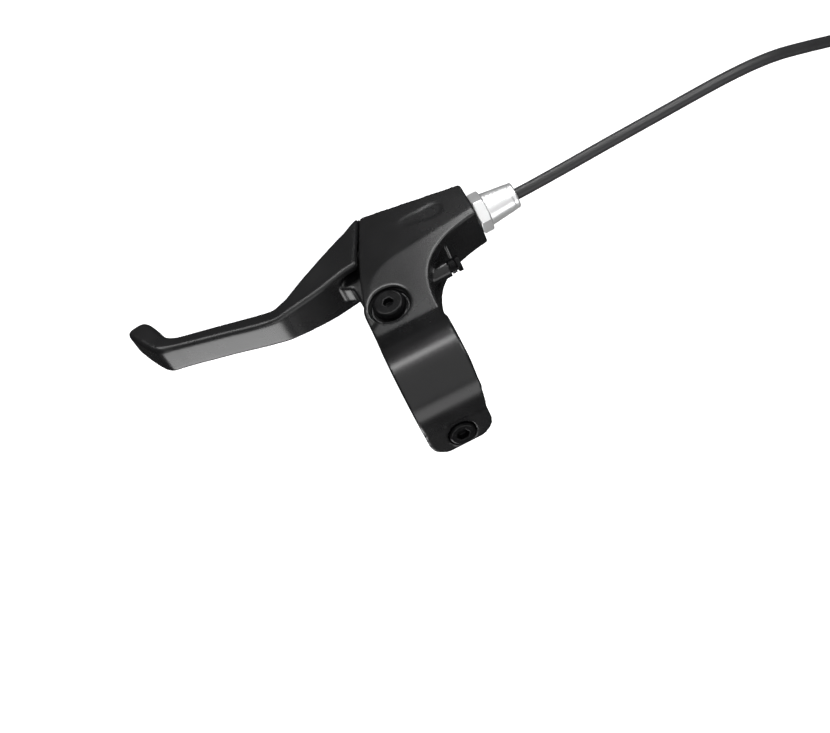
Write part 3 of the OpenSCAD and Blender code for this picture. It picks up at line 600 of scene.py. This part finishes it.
# The edges straight, then the rounded knob at the tip swollen along its normals, then the root's flanges
# moved over most of their gap to the bracket, whose left edge is given by the Xs at some Ys
def leverShape(points, normals):
    points = drawnStraight(drawnStraight(points, frontEdge), rearEdge)
    points += knob["swell"] * eased(-points[:, 0], -knob["start"], -knob["full"])[:, None] * normals
    away = np.interp(points[:, 1], rootGap["edgeY"], rootGap["edgeX"]) - points[:, 0]
    near = (np.abs(points[:, 2]) > rootGap["above"]) & (away > 0) & (points[:, 1] > rootGap["edgeY"][0])
    points[:, 0] += np.where(near, rootGap["close"] * np.clip(1 - away / rootGap["depth"], 0, 1), 0)
    return points


leverBlade = softened(dict(
    name="leverBlade", node="lever_blade", body="lever", slot="lever_black", voxel=0.00038, rounds=15,
    settle=10), bladeLook, leverShape)


dome = dict(above=0.0066, blend=0.002, flat=0.0044, rim=0.0057, drop=0.0012)


# The rim of the pivot bolt's head sinks with the square of the way from the flat to the rim, so that the
# head is domed towards its edge
def domedHead(points, normals):
    reach = np.linalg.norm(points[:, :2] - pivotAxis, axis=1)
    share = np.clip((points[:, 2] - dome["above"]) / dome["blend"], 0, 1)
    outward = np.clip((reach - dome["flat"]) / (dome["rim"] - dome["flat"]), 0, 1)
    points[:, 2] -= share * dome["drop"] * outward**2
    return points


pivotBolt = softened(dict(
    name="pivotBolt", node="pivot_bolt", body="bracket", slot="bolt_black", voxel=0.0002, rounds=4),
    boltLook, domedHead)
clampBolt = softened(dict(
    name="clampBolt", node="clamp_bolt", body="bracket", slot="bolt_black", voxel=0.0002, rounds=3), boltLook)
lockNut = softened(dict(
    name="lockNut", node="lock_nut", body="lock_nut", slot="adjuster_silver", voxel=0.0002, rounds=3),
    silverLook)


# the coarse thread on the adjuster, from its inner end to the lock nut's outer face
def adjusterThread(points, normals):
    innerEnd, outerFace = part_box("barrel_adjuster")[0][0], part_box("lock_nut")[1][0]
    return cutThread(points, boxMiddle("barrel_adjuster")[1:], (innerEnd, outerFace), coarseThread)


adjusterBarrel = softened(dict(
    name="adjusterBarrel", node="barrel_adjuster", body="adjuster", slot="adjuster_silver", voxel=0.0002,
    rounds=3), silverLook, adjusterThread)


# the fine thread on the reach screw, from its tip to just before its spring
def screwThread(points, normals):
    axis = (boxMiddle("reach_screw")[1], 0)
    tip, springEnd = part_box("reach_screw")[0][0], reachSpring["start"]
    return cutThread(points, axis, (tip, springEnd - fineThread["springGap"]), fineThread)


reachScrew = softened(dict(
    name="reachScrew", node="reach_screw", body="reach_screw", slot="bolt_black", voxel=0.00015, rounds=2),
    boltLook, screwThread)

# the CAD nodes that are seen as they are
finishes = {
    "pivot_nut": boltLook, "clamp_washer": boltLook, "clamp_nut": boltLook,
    "pivot_sleeve": brassLook, "thrust_washers": nylonLook,
    "housing_ferrule": steelLook, "end_ferrule": steelLook, "wire_end_cap": steelLook,
    "cable_nipple": steelLook,
}
for nodeName, look in finishes.items():
    slots = nodes[nodeName].data.materials
    if len(slots) == 0:
        slots.append(look)
    for k in range(len(slots)):
        slots[k] = look
print("carried nodes dressed")

room = dict(floorZ=-0.35, floorSize=6.0, floorTone=0.9, floorGlow=0.75, floorRough=0.9,
            domeHeights=(-0.15, 0.15), domeTones=(0.03, 0.13))
lamps = [
    dict(name="lampAheadHigh", at=(0, 0, 0), towards=(0, 64.7), away=1.1, wide=1.1, tall=0.25, radiance=9.0),
    dict(name="lampPlateTip", at=(0.034, 0.056, 0.012), towards=(12, 48), away=0.33, wide=0.06, tall=0.05,
         radiance=14.0),
    dict(name="lampBehind", at=(0, 0, 0), towards=(180, -12), away=0.5, wide=0.7, tall=0.27, radiance=2.2),
    dict(name="lampBehindHigh", at=(0, 0, 0), towards=(180, 59.7), away=1.3, wide=1.4, tall=2.92,
         radiance=0.72),
    dict(name="lampBelow", at=(-0.06, 0.052, 0), towards=(211.5, -54), away=0.3, wide=0.18, tall=0.12,
         radiance=4.8),
    dict(name="lampAdjuster", at=(0.044, 0.053, 0), towards=(115, 55), away=0.2, wide=0.08, tall=0.08,
         radiance=6.0),
]


# A lamp that faces a point from a direction: degrees from ahead towards the right, and degrees above the
# level. Its power is its radiance times pi times its area.
def addLamp(spec):
    side, rise = (math.radians(v) for v in spec["towards"])
    way = Vector((math.sin(side) * math.cos(rise), math.cos(side) * math.cos(rise), math.sin(rise)))
    light = bpy.data.lights.new(spec["name"], "AREA")
    light.shape = "RECTANGLE"
    light.size, light.size_y = spec["wide"], spec["tall"]
    light.energy = spec["radiance"] * math.pi * spec["wide"] * spec["tall"]
    lamp = bpy.data.objects.new(spec["name"], light)
    bpy.context.collection.objects.link(lamp)
    lamp.location = Vector(spec["at"]) + way * spec["away"]
    lamp.rotation_mode = "QUATERNION"
    lamp.rotation_quaternion = way.to_track_quat("Z", "Y")
    lamp.visible_camera = False


# a pale square that glows a little and stays out of the gloss
def makeFloor():
    half, z = room["floorSize"] / 2, room["floorZ"]
    corners = [(-half, -half, z), (half, -half, z), (half, half, z), (-half, half, z)]
    mesh = bpy.data.meshes.new("floor")
    mesh.from_pydata(corners, [], [(0, 1, 2, 3)])
    floor = bpy.data.objects.new("floor", mesh)
    bpy.context.collection.objects.link(floor)
    look, _, shader = newLook("floorPale")
    shader.inputs["Base Color"].default_value = (room["floorTone"],) * 3 + (1,)
    shader.inputs["Roughness"].default_value = room["floorRough"]
    shader.inputs["Emission Color"].default_value = (1, 1, 1, 1)
    shader.inputs["Emission Strength"].default_value = room["floorGlow"]
    mesh.materials.append(look)
    floor.visible_glossy = False


# The world is a dim dome: its tone goes in a straight line from the lower one to the higher one with the
# height of the direction, which is -1 straight down and 1 straight up. Seen straight it is white.
def lightWorld():
    world = bpy.data.worlds.new("world")
    world.use_nodes = True
    bpy.context.scene.world = world
    tree = world.node_tree
    where = tree.nodes.new("ShaderNodeTexCoord")
    split = tree.nodes.new("ShaderNodeSeparateXYZ")
    tree.links.new(where.outputs["Generated"], split.inputs["Vector"])
    tone = ranged(tree, split.outputs["Z"], *room["domeHeights"], *room["domeTones"])
    ray = tree.nodes.new("ShaderNodeLightPath")
    seen = mixed(tree, ray.outputs["Is Camera Ray"], tone, (1, 1, 1))
    tree.links.new(seen, tree.nodes["Background"].inputs["Color"])


for lamp in lamps:
    addLamp(lamp)
makeFloor()
lightWorld()
bpy.context.scene.view_settings.view_transform = "Standard"
print("room lit")
